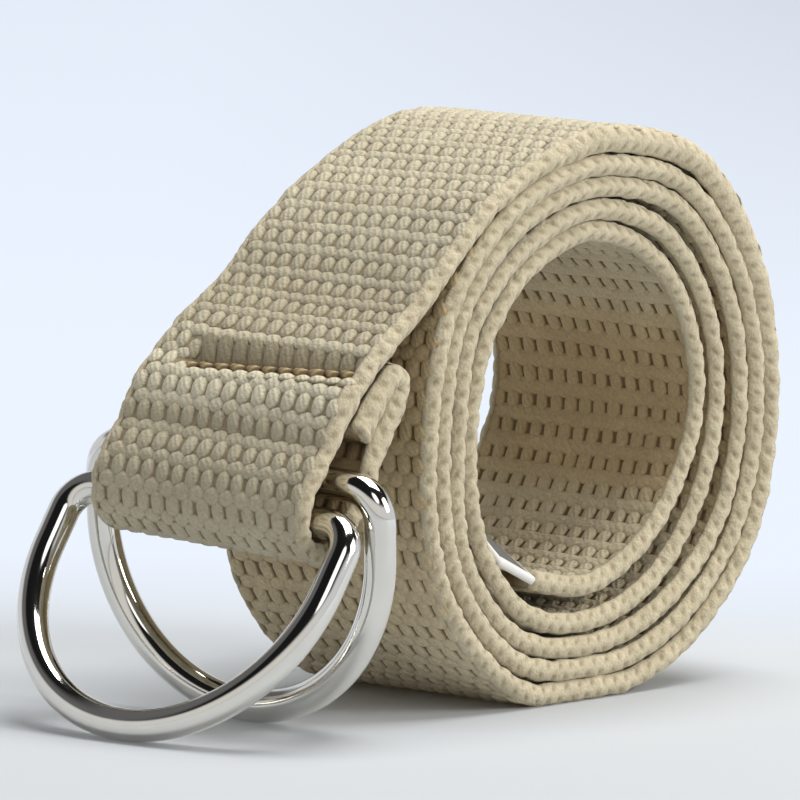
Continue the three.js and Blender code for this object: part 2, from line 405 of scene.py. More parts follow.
# The direction across the band, which leans in and out along the coil and the strap and is skewed in the fold
def bandAcross(place, inward, at, onStrap, onCoil):
    high, hour = place[:, 2], at - onCoil
    turned = roundCoil(place)
    edge = between(leanRows, np.where(turned < 0, turned + 360, turned))
    lowShare = smooth(high, strapLean["low"], strapLean["lowFull"])
    highShare = 1 - smooth(high, strapLean["highFull"], strapLean["high"])
    onOuterTurn = edge * smooth(high, 0, leanClear)
    before = np.where(hour > 0, onOuterTurn, lowShare * (edge + strapLean["edge"] * highShare))
    lean = np.where(hour > hoursPerTurn, np.maximum(0, edge), before)
    leanWay = np.where((at < onStrap)[:, None], inward[0], inward)
    skewShare = np.where(at < onCoil, 1 - smooth(high, skew["fullBelow"], skew["noneAbove"]), 0)
    skewWay = np.array([-math.sin(math.radians(skew["yaw"])), 0, math.sin(math.radians(skew["roll"]))])
    leaned = leanWay * (lean / (band["width"] / 2))[:, None]
    return np.array([0, 1.0, 0]) + leaned + skewShare[:, None] * skewWay


def makeBand():
    points, onStrap, onCoil = bandPoints()
    flat = throughPoints(points, samplesPerSpan)
    at = np.arange(len(flat)) / samplesPerSpan
    hour = at - onCoil
    x, z = flat[:, 0], flat[:, 1]
    turn = np.floor((hour - hoursPerTurn / 2) / hoursPerTurn + 0.5)
    z = np.where(hour > 0, np.maximum(z, turn * turnRise), z)
    y = recessPerHour * np.maximum(0, hour - hoursPerTurn)
    place = np.stack([x, y, z], axis=1)
    run = lengthsAlong(place)
    even = np.linspace(0, run[-1], int(run[-1] * samplesPerMillimetre))
    place = np.stack([np.interp(even, run, place[:, k]) for k in range(3)], axis=1)
    at = np.interp(even, run, at)
    reach = max(1, int(headingReach / (even[1] - even[0])))
    index = np.arange(len(even))
    ahead = place[np.minimum(index + reach, len(even) - 1)] - place[np.maximum(index - reach, 0)]
    along = ahead * [1, 0, 1]
    along /= np.linalg.norm(along, axis=1)[:, None]
    inward = np.stack([along[:, 2], np.zeros(len(along)), -along[:, 0]], axis=1)
    return {
        "run": even,
        "place": place,
        "along": along,
        "inward": inward,
        "across": bandAcross(place, inward, at, onStrap, onCoil),
        "thickness": band["thickness"] + hem["swell"] * (1 - smooth(even, 0, hem["swellReach"])),
        "strapStart": float(np.interp(onStrap, at, even)),
        "coilStart": float(np.interp(onCoil, at, even)),
        "length": float(even[-1]),
    }


path = makeBand()
for name in ("length", "strapStart", "coilStart"):
    print("band path,", name, round(path[name], 1), "mm")


def alongBand(name, s):
    values = path[name]
    if values.ndim == 1:
        return np.interp(s, path["run"], values)
    return np.stack([np.interp(s, path["run"], values[:, k]) for k in range(3)], axis=-1)


# Points of the band in metres: s along it, y across it, depth in from its outer face
def onBand(s, y, depth):
    across, inward = alongBand("across", s), alongBand("inward", s)
    return (alongBand("place", s) + across * y[..., None] + inward * depth[..., None]) * mm


# The stitch row draws the outer face in; the cloth falls to it slowly from above and steeply from below
press = {
    "at": 80.6,  # place along the band at the row's near end
    "slope": -0.085,
    "from": -17.2,  # places across the band
    "to": 11.2,
    "ease": 1.2,
}
pressRows = [
    # along the band from the stitch line, depth
    (-4.8, 0), (-2.2, 0.1), (-0.2, 0.75), (0.9, 0.8), (3.6, 0),
]
waveRows = [
    # along the band, how far the strap's outer face dips in, or bulges out below zero
    (49, 0), (55, 0.25), (61, 0), (64.5, 0.05), (68.2, 0.4), (71.4, -0.3), (74.5, -0.65), (77, -0.6), (80, 0),
    (86, -0.1), (92, 0),
]
shadeAndLightRows = [
    # along the band, how far it is darkened with painted shade, or below zero how far it is lightened with
    # painted light
    (44, 0), (50, 0.15), (57, 0.2), (61, 0.3), (67, 0.3), (69, 0.35), (70.5, 0.35), (73, -0.6), (78, -0.6),
    (80, 0), (84, 0), (86.5, 0.35), (93, 0.55), (98, 0.4), (108, 0.1), (116, 0), (225, 0), (250, -0.65),
    (300, -0.6), (320, -0.4), (332, 0),
]
squashedShade = {
    "from": (0.2, 0.8),  # the squashed row above the stitches is darkened with painted shade and soil from here above the stitch line
    "to": (82.4, 83.2),  # up to here along the band
}
shadeRows = [
    # along the band, how far the outer face lies in brown shade
    (232, 0), (255, 0.6), (297, 0.45), (322, 0.7), (337, 1), (371, 1), (389, 0),
]
foldShade = (62, 76)  # the inner face is dark in the fold, up to between these places
hollowRows = {
    # degrees round the coil's middle, how far the inner face lies in brown painted shade, and how much darker
    # it is painted with shade
    "browned": [
        (-180, 0.5), (-130, 0.5), (-100, 0.25), (-50, 0.3), (-25, 1), (20, 1), (50, 0.3), (180, 0.5),
    ],
    "pressed": [(-40, 0), (-15, 0.5), (12, 0.5), (35, 0)],
}


def stitchLine(y):
    return press["at"] + press["slope"] * (y - press["from"])


def pressWidth(y):
    start, end, ease = press["from"], press["to"], press["ease"]
    return smooth(y, start - ease, start) * (1 - smooth(y, end, end + ease))


def pressedDepth(s, y):
    return between(pressRows, s - stitchLine(y)) * pressWidth(y) + between(waveRows, s)


# How far the outer face is darkened with painted shade, or below zero lightened with painted light: along the
# strap, and in the squashed row over the stitches with its soil
def pressedShade(s, y):
    above = s - stitchLine(np.clip(y, press["from"], press["to"]))
    row = smooth(above, *squashedShade["from"]) * (1 - smooth(s, *squashedShade["to"])) * pressWidth(y)
    shadeAndLight = between(shadeAndLightRows, s)
    return shadeAndLight + row * (1 - shadeAndLight)


# The same painted shade for the inner face: dark in the fold, brown on the hollow's right side
def innerShade(s, name):
    inFold = 1 - smooth(s, *foldShade) if name == "pressed" else 1.0
    inHollow = between(hollowRows[name], roundCoil(alongBand("place", s)))
    return np.where(s < path["coilStart"], inFold, inHollow)


def store(mesh, name, values):
    layer = mesh.attributes.new(name, "FLOAT", "POINT")
    layer.data.foreach_set("value", np.asarray(values, np.float32).ravel())


def storeYarnPlaces(mesh, uv):
    layer = mesh.uv_layers.new(name="yarn")
    used = np.zeros(len(mesh.loops), int)
    mesh.loops.foreach_get("vertex_index", used)
    layer.uv.foreach_set("vector", np.asarray(uv, np.float32).reshape(-1, 2)[used].ravel())


def linked(name, mesh):
    piece = bpy.data.objects.new(name, mesh)
    bpy.context.scene.collection.objects.link(piece)
    return piece


def meshObject(name, points, faces, material, smoothed=True):
    mesh = bpy.data.meshes.new(name)
    mesh.from_pydata([tuple(p) for p in points], [], faces)
    mesh.materials.append(material)
    if smoothed:
        mesh.shade_smooth()
    return linked(name, mesh)


# A closed band of sections: sections has the shape (sections, corners, 3)
def loftObject(name, sections, material, closed=False, uv=None):
    count, corners = sections.shape[:2]
    index = np.arange(count * corners).reshape(count, corners)
    here, following = (index, np.roll(index, -1, axis=0)) if closed else (index[:-1], index[1:])
    quads = np.stack([here, following, np.roll(following, -1, axis=1), np.roll(here, -1, axis=1)], axis=-1)
    faces = quads.reshape(-1, 4).tolist()
    if not closed:
        faces += [index[0].tolist(), index[-1][::-1].tolist()]
    piece = meshObject(name, sections.reshape(-1, 3), faces, material)
    if uv is not None:
        storeYarnPlaces(piece.data, uv)
    return piece


# The sheet under the floats: what shows in the gaps between yarns
ground = {
    "step": 1.1,
    "fineStep": 0.4,
    "fine": (73, 88),  # the stretch round the stitch row that has the finer steps
    "inset": 1.1,  # the sheet's edge lies this far in from the band's edge
    "edgeDepth": 0.9,  # and this deep, and the sheet rises over the next to its full height
    "shoulder": 0.4,
    "pointsAcross": 15,
    "grooveMiddle": 0.3,  # above the stitch line, where its painted shade is darkest
}


def makeGround():
    length = path["length"]
    start, end = ground["fine"]
    s = np.concatenate([
        np.arange(0, start, ground["step"]),
        np.arange(start, end, ground["fineStep"]),
        np.linspace(end, length, int((length - end) / ground["step"])),
    ])
    half = band["width"] / 2 - ground["inset"]
    spots = np.linspace(half - ground["shoulder"], ground["shoulder"] - half, ground["pointsAcross"])
    edge = ground["edgeDepth"]
    upper = [(half, edge), *((y, band["ground"]) for y in spots), (-half, edge)]
    upper = [(np.full(len(s), y), depth) for y, depth in upper]
    thickness = alongBand("thickness", s)
    outer = [(y, depth + pressedDepth(s, y)) for y, depth in upper]
    inner = [(y, thickness - depth) for y, depth in reversed(upper)]
    sections = np.stack([onBand(s, y, depth) for y, depth in outer + inner], axis=1)
    piece = loftObject("web_ground", sections, groundCotton)
    # brown painted shade: the outer side takes the outer face's and more in the groove by the stitch row, the
    # inner side all of it
    shade = between(shadeRows, s)
    grooves = [pressWidth(y) * np.exp(-(s - stitchLine(y) - ground["grooveMiddle"]) ** 2) for y, _ in outer]
    shades = [np.maximum(shade, groove) for groove in grooves] + [np.ones(len(s))] * len(inner)
    store(piece.data, "browned", np.stack(shades, axis=1))
    return piece


webbingPiece = makeGround()
print("ground sheet:", len(webbingPiece.data.polygons), "faces")

# Selvedges: a soft cord along each edge, with two staggered rows of creases where the weft turns
selvedge = {
    "step": 0.36,
    "around": 15,
    "depth": 1.45,  # how far in from the edge it reaches
    "leastDepth": 0.05,  # also at its ends
    "outerProud": -0.02,  # how far the cord stands out of the band's outer and inner face
    "innerProud": 0.30,
    "snug": (33, 37, 61, 65),  # the stretch round the rings, where the inner side stays flat
    "loose": (124, 138, 184, 214),  # the stretch that bulges into the gap under it, and by how much
    "looseProud": 0.95,
    "hem": (29, 34),  # up to here the hem's cord bulges inwards, and by how much
    "hemProud": 0.65,
    "endRound": 0.8,  # the cord rounds off over this at each end
    "endThin": 0.1,  # to this half thickness
    "endFrom": 0.02,  # the least share of the way that is counted
    "unevenness": 0.10,  # how far its surface strays in and out
    "unevenPeriod": 1.7,  # millimetres along it
    "unevenTwist": 30,  # degrees round the cord for each millimetre that the unevenness shifts by
    "unevenStart": 3,
    "shift": 0.6,  # how far the creases stray along the cord
    "shiftPeriod": 5.0,
    "seed": 5,
    "shiftSeed": 14,
    "creaseSpacing": 2.7,
    "creaseWidth": 0.42,  # half of it
    "creaseReach": 21,  # degrees round the cord, half of it
    "creaseDepth": 0.28,
    "creaseSlant": 0.014,  # millimetres for each degree
    "creaseCurve": 0.6,
    "stagger": 0.25,  # of the spacing, to each side
    "shoulder": 36,  # degrees from the edge at which the two rows lie
    "swell": 0.06,  # how far the cord swells between two creases of a row
    "rise": 0.5,  # how high it counts for the painted shade at a float's foot, so that its creases are painted darker
    # brown painted shade over the whole cord, as where the cloth is hidden from the light
    "browned": 0.2,
    "yarnSize": (5, 2),  # steps round the cord and millimetres along it for one width of its fibres' pattern
}


def evenNoise(seed, length, period):
    random = np.random.default_rng(seed)
    knots = random.uniform(-1, 1, int(length / period) + 4)
    return lambda s: np.interp(s / period, np.arange(len(knots)), knots)


# 1 along a stretch, eased in and out: rows is where it begins, is full, is still full, and ends
def stretch(s, rows):
    start, full, stillFull, end = rows
    return smooth(s, start, full) * (1 - smooth(s, stillFull, end))


# The cord's surface: angle 0 is the edge itself, a quarter turn either way the faces
def onSelvedge(s, side, angle, out):
    thickness = alongBand("thickness", s)
    outer = selvedge["outerProud"] - between(waveRows, s)
    inner = selvedge["innerProud"] * (1 - stretch(s, selvedge["snug"]))
    inner = inner + selvedge["looseProud"] * stretch(s, selvedge["loose"])
    inner = inner + selvedge["hemProud"] * (1 - smooth(s, *selvedge["hem"]))
    half = (thickness + outer + inner) / 2
    fromEnd = np.minimum(s, path["length"] - s) / selvedge["endRound"]
    fromEnd = np.clip(fromEnd, selvedge["endFrom"], 1)
    out = out - (1 - np.sqrt(1 - (1 - fromEnd) ** 2)) * (half - selvedge["endThin"])
    reach = np.maximum(selvedge["leastDepth"], selvedge["depth"] + out)
    y = band["width"] / 2 - selvedge["depth"] + reach * math.cos(angle)
    depth = (thickness + inner - outer) / 2 + (half + out) * math.sin(angle)
    return onBand(s, side * y, depth)


# How deep a place along the cord and round it lies in a crease, from 0 to 1
def creased(s, degrees):
    spacing = selvedge["creaseSpacing"]
    depth = np.zeros(len(s))
    for row in (-1, 1):
        turn = s / spacing + selvedge["stagger"] * row
        offRow = degrees - row * selvedge["shoulder"]
        along = (turn - np.round(turn)) * spacing + row * offRow * selvedge["creaseSlant"]
        away = offRow / selvedge["creaseReach"]
        depth = np.maximum(depth, np.exp(-(along / selvedge["creaseWidth"]) ** 2) * math.exp(-away * away))
    return depth


def makeSelvedge(name, side):
    s = np.linspace(0, path["length"], int(path["length"] / selvedge["step"]))
    uneven = evenNoise(selvedge["seed"] + side, path["length"], selvedge["unevenPeriod"])
    stray = evenNoise(selvedge["shiftSeed"] + side, path["length"], selvedge["shiftPeriod"])
    swell = np.cos(2 * math.pi * s / (selvedge["creaseSpacing"] * 2)) * selvedge["swell"]
    rings, rises = [], []
    for degrees in np.linspace(-90, 90, selvedge["around"]):
        crease = creased(s + selvedge["shift"] * stray(s), degrees)
        bumps = uneven(s + degrees / selvedge["unevenTwist"] + selvedge["unevenStart"])
        out = swell - selvedge["creaseDepth"] * crease + selvedge["unevenness"] * bumps
        rings.append(onSelvedge(s, side, math.radians(degrees), out))
        # the creases are painted with shade through their lower rise
        rises.append(selvedge["rise"] * (1 - crease ** selvedge["creaseCurve"]))
    if side < 0:
        rings.reverse()
        rises.reverse()
    aroundSize, alongSize = selvedge["yarnSize"]
    uv = np.broadcast_arrays(s[:, None] / alongSize, np.arange(len(rings))[None] / aroundSize)
    piece = loftObject(name, np.stack(rings, axis=1), selvedgeCotton, uv=np.stack(uv, axis=-1))
    rise = np.stack(rises, axis=1)
    store(piece.data, "rise", rise)
    store(piece.data, "browned", np.full(rise.size, selvedge["browned"]))
    return piece


nearSelvedge = makeSelvedge("selvedge_near", -1)
farSelvedge = makeSelvedge("selvedge_far", 1)
print("selvedges:", 2 * len(nearSelvedge.data.polygons), "faces")

# Weave: long floats of one set of warp yarns lie in rows over the thick weft, and between the rows
# short wide ones of the other set lie over the thin weft
weave = {
    "rowSpacing": 4.46,
    "yarnSpacing": 2.64,
    "yarns": 14,
    "phase": 1.8,
    "longFloat": (2.40, 3.60, 0.52),  # across, along, height over the ground
    "shortFloat": (3.35, 2.55, 0.46),
    "innerLong": (2.32, 3.60, 0.45),
    "innerShort": (5.00, 2.65, 0.45),
    "slant": 9,  # degrees, of the long floats
    "sink": 0.35,  # how far a float's foot lies under the ground, in its own height
    "jitter": 0.08,  # share of a float's size
    "turnJitter": 0.10,  # radians
    "sizeSpread": 0.03,  # share of each of its sizes
    "aside": 0.05,  # how far a float strays across the band
    "wander": 0.35,  # and along it, with its neighbours
    "seed": 11,
}
# The waves in which neighbours wander across the band. Each of a few kinds of rows reads them further on
drift = {"seed": 14, "length": 60, "period": 9.0, "from": 20, "kinds": 7, "step": 4.0}
# The rows near the stitch row
seam = {
    "bend": (75, 78.5, 79.6, 86.5),  # along this stretch the rows bend until they run beside the stitch row
    "bendEase": 3,  # past the stitch row's far end they straighten over this
    "below": (78, 82),  # rows below this stretch lie higher
    "lift": 0.9,  # by this
    "groove": (-1.2, 0.5),  # no floats this near to the stitch row, below and above it
    "tucked": -2.8,  # the row under the stitch row, down to here, is tucked in to the next length
    "tuckedLength": 2.2,
    "squashed": (81.0, 83.0),  # the long floats with their middles here reach down to the stitch row
    "squashedTop": 83.5,  # from here along the band
    "squashedWidth": 2.6,
    "overlap": 0.9,  # more length, to lie over the rows beside them
    "topBend": 0.28,  # how much of the rows' bend their upper ends keep
    "shift": 0.1,
    "flattened": 0.15,  # share of their height that floats lose in the groove
    "slopeReach": 0.3,
}
floatRings = [
    # share of the width, height share
    (1.00, 0.0), (0.86, 0.30), (0.64, 0.74), (0.34, 0.95),
]
floatSides = 10
floatSquareness = 2.6


# One float as a closed pillow, one millimetre across, along and high
def floatShape(name):
    points, faces, uvs = [], [], []
    rows = [(1.0, -weave["sink"])] + floatRings
    for share, height in rows:
        for k in range(floatSides):
            angle = 2 * math.pi * (k + 0.5) / floatSides
            c, s = math.cos(angle), math.sin(angle)
            x = math.copysign(abs(c) ** (2 / floatSquareness), c) * 0.5 * share
            y = math.copysign(abs(s) ** (2 / floatSquareness), s) * 0.5 * share
            points.append((x, y, height))
            uvs.append((x + 0.5, y + 0.5))
    points.append((0, 0, 1.0))
    uvs.append((0.5, 0.5))
    for r in range(len(rows) - 1):
        for k in range(floatSides):
            a, b = r * floatSides + k, r * floatSides + (k + 1) % floatSides
            faces.append((a, b, b + floatSides, a + floatSides))
    last = (len(rows) - 1) * floatSides
    faces += [(last + k, last + (k + 1) % floatSides, len(points) - 1) for k in range(floatSides)]
    faces.append(tuple(reversed(range(floatSides))))
    piece = meshObject(name, points, faces, floatCotton)
    storeYarnPlaces(piece.data, uvs)
    # the height shares, by which the float's foot is painted with shade
    store(piece.data, "rise", [max(0.0, height) for x, y, height in points])
    return piece


# Geometry Nodes: sets a float on each point, turned by the point's directions, sized by its own size
def weaveTree():
    tree = bpy.data.node_groups.new("webWeave", "GeometryNodeTree")
    face = tree.interface
    kinds = {"Geometry": "Geometry", "Float": "Object", "Jitter": "Float", "Turn jitter": "Float",
             "Seed": "Int", "Material": "Material"}
    for name, kind in kinds.items():
        face.new_socket(name, in_out="INPUT", socket_type="NodeSocket" + kind)
    face.new_socket("Geometry", in_out="OUTPUT", socket_type="NodeSocketGeometry")
    make = NodeMaker(tree)
    given = tree.nodes.new("NodeGroupInput")
    socket = {s.name: Value(make, s) for s in given.outputs if s.name}

    def pointVector(name):
        return make.add("GeometryNodeInputNamedAttribute", {"data_type": "FLOAT_VECTOR"}, {"Name": name})

    def randomValue(low, high, seed):
        inputs = {"Min": low, "Max": high, "Seed": seed}
        return make.add("FunctionNodeRandomValue", {"data_type": "FLOAT"}, inputs, out="Value")

    shape = make.add("GeometryNodeObjectInfo", None, {"Object": socket["Float"]}, out="Geometry")
    upright = {"Vector": pointVector("normal_way")}
    turn = make.add("FunctionNodeAlignRotationToVector", {"axis": "Z"}, upright)
    lengthwise = {"Rotation": turn, "Vector": pointVector("along_way")}
    turn = make.add("FunctionNodeAlignRotationToVector", {"axis": "Y", "pivot_axis": "Z"}, lengthwise)
    spin = randomValue(socket["Turn jitter"] * -1, socket["Turn jitter"], socket["Seed"])
    spun = {"Rotation": turn, "Rotate By": make.add("ShaderNodeCombineXYZ", None, {"Z": spin})}
    turn = make.add("FunctionNodeRotateRotation", {"rotation_space": "LOCAL"}, spun)
    scale = randomValue(1 - socket["Jitter"], 1 + socket["Jitter"], socket["Seed"] + 1)
    scaled = {"Vector": pointVector("float_size"), "Scale": scale}
    size = make.add("ShaderNodeVectorMath", {"operation": "SCALE"}, scaled)
    instances = {"Points": socket["Geometry"], "Instance": shape, "Rotation": turn, "Scale": size}
    placed = make.add("GeometryNodeInstanceOnPoints", None, instances)
    real = make.add("GeometryNodeRealizeInstances", None, {"Geometry": placed})
    finish = {"Geometry": real, "Material": socket["Material"]}
    dressed = make.add("GeometryNodeSetMaterial", None, finish)
    out = tree.nodes.new("NodeGroupOutput")
    tree.links.new(dressed.socket, out.inputs[0])
    return tree


def runTree(carrier, tree, values, name):
    modifier = carrier.modifiers.new("weave", "NODES")
    modifier.node_group = tree
    for item in tree.interface.items_tree:
        if item.in_out == "INPUT" and item.name in values:
            modifier[item.identifier] = values[item.name]
    shown = carrier.evaluated_get(bpy.context.evaluated_depsgraph_get())
    mesh = bpy.data.meshes.new_from_object(shown)
    mesh.name = name
    bpy.data.objects.remove(carrier)
    return linked(name, mesh)


def pointCarrier(name, places, normals, alongs, sizes):
    mesh = bpy.data.meshes.new(name)
    mesh.from_pydata([tuple(p) for p in places], [], [])
    for key, values in (("normal_way", normals), ("along_way", alongs), ("float_size", sizes)):
        layer = mesh.attributes.new(key, "FLOAT_VECTOR", "POINT")
        layer.data.foreach_set("vector", np.asarray(values, np.float32).ravel())
    return linked(name, mesh)


def turnedBy(along, normal, degrees):
    angle = np.radians(degrees)
    aside = np.cross(normal, along)
    return along * np.cos(angle)[..., None] + aside * np.sin(angle)[..., None]


# Floats in straight rows between two places along the band: their places along and across it, slants,
# rows' middles and sizes. Where yarns is given, only so many are laid, counted from the near edge
def floatRows(start, end, inner, yarns):
    random = np.random.default_rng(weave["seed"])
    wandering = evenNoise(drift["seed"], drift["length"], drift["period"])
    spacing = weave["rowSpacing"]
    parts = []
    for row in range(math.floor(start / spacing) - 1, math.floor(end / spacing) + 1):
        for long in (True, False):
            middle = weave["phase"] + spacing * (row if long else row + 0.5)
            if middle > end or middle < start:
                continue
            count = weave["yarns"] if long else weave["yarns"] - 1
            spots = (np.arange(count) - (count - 1) / 2) * weave["yarnSpacing"]
            spots = spots[:yarns]
            further = drift["from"] + (row % drift["kinds"]) * drift["step"]
            s = middle + weave["wander"] * wandering(spots + further)
            y = spots + random.normal(0, weave["aside"], len(spots))
            kinds = ("innerLong", "innerShort") if inner else ("longFloat", "shortFloat")
            sizes = np.tile(weave[kinds[0] if long else kinds[1]], (len(spots), 1))
            sizes = sizes * random.normal(1, weave["sizeSpread"], (len(spots), 3))
            slants = np.full(len(spots), float(weave["slant"] if long else 0))
            parts.append((s, y, slants, np.full(len(spots), middle), sizes))
    return [np.concatenate(values) for values in zip(*parts)]


# The outer face's rows round the stitch row: they bend beside it, those under it lie closer to it, the long
# floats over it are squashed down to it, and none lies in its groove
def fitToStitches(s, y, slants, middles, sizes):
    beyond = smooth(y, press["to"], press["to"] + seam["bendEase"])
    line, onRow = stitchLine(y), pressWidth(y) > 0.5
    bend = (stitchLine(np.clip(y, press["from"], press["to"])) - press["at"]) * (1 - beyond)
    s = s + stretch(s, seam["bend"]) * bend + seam["lift"] * (1 - smooth(s, *seam["below"]))
    tucked = (s - line > seam["tucked"]) & (s - line < 0) & onRow
    sizes[:, 1] = np.where(tucked, seam["tuckedLength"], sizes[:, 1])
    low, high = seam["squashed"]
    squashed = (middles > low) & (middles < high) & (slants > 0) & onRow
    reach = seam["squashedTop"] - line + seam["topBend"] * bend
    s = np.where(squashed, line + reach / 2 + seam["shift"], s)
    sizes[:, 1] = np.where(squashed, reach + seam["overlap"], sizes[:, 1])
    sizes[:, 0] = np.where(squashed, seam["squashedWidth"], sizes[:, 0])
    low, high = seam["groove"]
    kept = (s - line < low) | (s - line > high) | ~onRow
    return s[kept], y[kept], slants[kept], sizes[kept]


def weaveFace(name, start, end, inner, yarns, tree, shape):
    s, y, slants, middles, sizes = floatRows(start, end, inner, yarns)
    if not inner:
        s, y, slants, sizes = fitToStitches(s, y, slants, middles, sizes)
    inward, along = alongBand("inward", s), alongBand("along", s)
    if inner:
        depth = alongBand("thickness", s) - band["ground"]
        normals = inward
        shades = {"browned": innerShade(s, "browned"), "pressed": innerShade(s, "pressed")}
    else:
        pressed = pressedDepth(s, y)
        depth = band["ground"] + pressed
        reach = seam["slopeReach"]
        fall = (pressedDepth(s + reach, y) - pressedDepth(s - reach, y)) / (2 * reach)
        along = along + inward * fall[:, None]
        normals = along * fall[:, None] - inward
        sizes[:, 2] *= 1 - seam["flattened"] * np.clip(pressed, 0, 1)
        shades = {"browned": between(shadeRows, s), "pressed": pressedShade(s, y)}
    along = turnedBy(along, normals, slants)
    carrier = pointCarrier(name, onBand(s, y, depth), normals, along, sizes * mm)
    for key, values in shades.items():
        store(carrier.data, key, values)
    values = {"Float": shape, "Jitter": weave["jitter"], "Turn jitter": weave["turnJitter"],
              "Seed": weave["seed"], "Material": floatCotton}
    return runTree(carrier, tree, values, name)


# The stitch row: short turns of tan thread in the groove, from just inside the near edge
stitch = {
    "from": -17.0,
    "to": 11.0,
    "spacing": 2.65,
    "size": (1.15, 3.0, 0.50),
    "depth": 0.10,
    "below": 0.15,  # the middle of the groove
    "jitter": 0.08,
    "turnJitter": 0.12,
    "seed": 8,
}


def makeStitches(name, tree, shape):
    y = np.arange(stitch["from"] + stitch["spacing"] / 2, stitch["to"], stitch["spacing"])
    s = stitchLine(y) - stitch["below"]
    inward, across = alongBand("inward", s), alongBand("across", s)
    depth = pressedDepth(s, y) + stitch["depth"]
    sizes = np.tile(stitch["size"], (len(s), 1)) * mm
    carrier = pointCarrier(name, onBand(s, y, depth), -inward, across, sizes)
    values = {"Float": shape, "Jitter": stitch["jitter"], "Turn jitter": stitch["turnJitter"],
              "Seed": stitch["seed"], "Material": sewingThread}
    return runTree(carrier, tree, values, name)


# Places along the band between which its faces have their floats
endFrom = 1.5
strapFrom = 12.0
turnFrom = path["coilStart"] + 8
backTo = path["coilStart"] + 10
turnTo = path["coilStart"] + 252
hollowFrom = 859.5
tailTo = path["length"] - 2
gapYarns = 3  # between the turns only the near edge's yarns can be seen
weaveRows = [
    # name, from, to, inner face, yarns
    ("weave_strap", strapFrom, turnFrom, False, None),
    ("weave_outer_turn", turnFrom, turnTo, False, None),
    ("weave_hollow", hollowFrom, tailTo, True, None),
    ("weave_strap_back", endFrom, backTo, True, None),
    ("weave_gaps_outer", turnTo, tailTo, False, gapYarns),
    ("weave_gaps_inner", backTo, hollowFrom, True, gapYarns),
]
tree = weaveTree()
pillow = floatShape("pillow")
weavePieces = [weaveFace(*row, tree, pillow) for row in weaveRows]
weavePieces.append(makeStitches("stitch_row", tree, pillow))
bpy.data.objects.remove(pillow)
print("weave:", {p.name: len(p.data.polygons) for p in weavePieces})

# Rings: smooth round wire, each on its own hinge
ring = {"wire": 4.5, "halfWidth": 24.6, "corner": 4.5, "legEnd": 9.6, "arch": 24.4, "sides": 28}
ringSteps = {"corner": 10, "arch": 84, "bar": 6}  # sections on each stretch; the arch's are for both halves
ringRows = [
    # name, body, x, y, lean, roll
    ("ring_front", "front_ring", -60.35, 0.95, 33.5, 2.0),
    ("ring_rear", "rear_ring", -56.6, -0.3, -6.6, 3.4),
]
nickel = {
    "haze": 0.25,  # patches per millimetre
    "dull": (0.71, 0.69, 0.64, 1),
    "bright": (0.79, 0.775, 0.73, 1),
    "roughness": 0.055,
    "roughnessSpread": 0.06,
}


def nickelMaterial():
    material, make = newMaterial("polishedNickel")
    haze = make.noise(nickel["haze"], fineDetail)
    varying = {
        "Base Color": make.mixColours(haze, nickel["dull"], nickel["bright"]),
        "Roughness": haze * nickel["roughnessSpread"] + nickel["roughness"],
    }
    return finishMaterial(material, make, {"Metallic": 1.0}, varying)


polishedNickel = nickelMaterial()


# The wire's middle line, as pairs of place along the bar and distance from it
def ringLine():
    corner, halfWidth = ring["corner"], ring["halfWidth"]
    half = [((halfWidth - corner) * (i + 0.5) / ringSteps["bar"], 0) for i in range(ringSteps["bar"])]
    for i in range(ringSteps["corner"] + 1):
        angle = math.radians(90 * i / ringSteps["corner"])
        half.append((halfWidth - corner * (1 - math.sin(angle)), corner * (1 - math.cos(angle))))
    for i in range(ringSteps["arch"] // 2):
        angle = math.radians(180 * (i + 0.5) / (ringSteps["arch"] + 1))
        half.append((halfWidth * math.cos(angle), ring["legEnd"] + ring["arch"] * math.sin(angle)))
    return half + [(-a, d) for a, d in reversed(half)]


def makeRing(name, x, y, lean, roll):
    yaw, roll, lean = (math.radians(v) for v in (skew["yaw"], roll, lean))
    bar = np.array([-math.sin(yaw) * math.cos(roll), math.cos(yaw) * math.cos(roll), math.sin(roll)])
    down = np.array([-math.sin(lean), 0, -math.cos(lean)])
    down -= bar * down.dot(bar)
    down /= np.linalg.norm(down)
    out = np.cross(down, bar)
    line = np.array([bar * a + down * d for a, d in ringLine()])
    radius = ring["wire"] / 2
    middle = np.array([x, y, radius - line[:, 2].min()])
    along = np.roll(line, -1, axis=0) - np.roll(line, 1, axis=0)
    along /= np.linalg.norm(along, axis=1)[:, None]
    side = np.cross(out, along)[:, None]
    turns = 2 * math.pi * (np.arange(ring["sides"]) + 0.5) / ring["sides"]
    turns = turns[None, :, None]
    sections = (middle + line)[:, None] + radius * (np.cos(turns) * out + np.sin(turns) * side)
    return loftObject(name, sections * mm, polishedNickel, closed=True)


ringPieces = []
for name, body, x, y, lean, roll in ringRows:
    piece = makeRing(name + "_wire", x, y, lean, roll)
    ringPieces.append((piece, name, body))
print("rings:", 2 * len(ringPieces[0][0].data.polygons), "faces")

# Label: a small folded plate of woven tape at the tail's tip
label = {
    "length": 8.4,
    "width": 12.0,
    "thickness": 1.2,
    "gap": 0.5,
    "rise": 24,
    "twist": (26, 34),  # degrees, at its root and its free end
    "sections": 22,
    "across": 9,  # points on each side of a section
    "edgeSteps": 4,
    "edgeRound": 0.03,  # of the width
    "thinner": 0.35,  # share of its thickness that it loses at the free end
    "thinnerFrom": 0.9,  # share of its length
    "white": (0.82, 0.815, 0.79, 1),
    "hollows": (0.66, 0.655, 0.63, 1),
    "face": (0.075, 0.072, 0.066, 1),  # the inner side is woven dark within a white margin
    "faceReach": (0.5, 0.6),  # its margin's edge is drawn between these shares of a step
    "faceWeave": 0.2,  # how much of the white shows through it
    "margin": 2,  # sections at each end
    "threads": (44, 30),  # counted across and along
    "relief": 0.04,
    "reliefStrength": 0.8,
    "roughness": 0.75,
    "specular": 0.15,
}


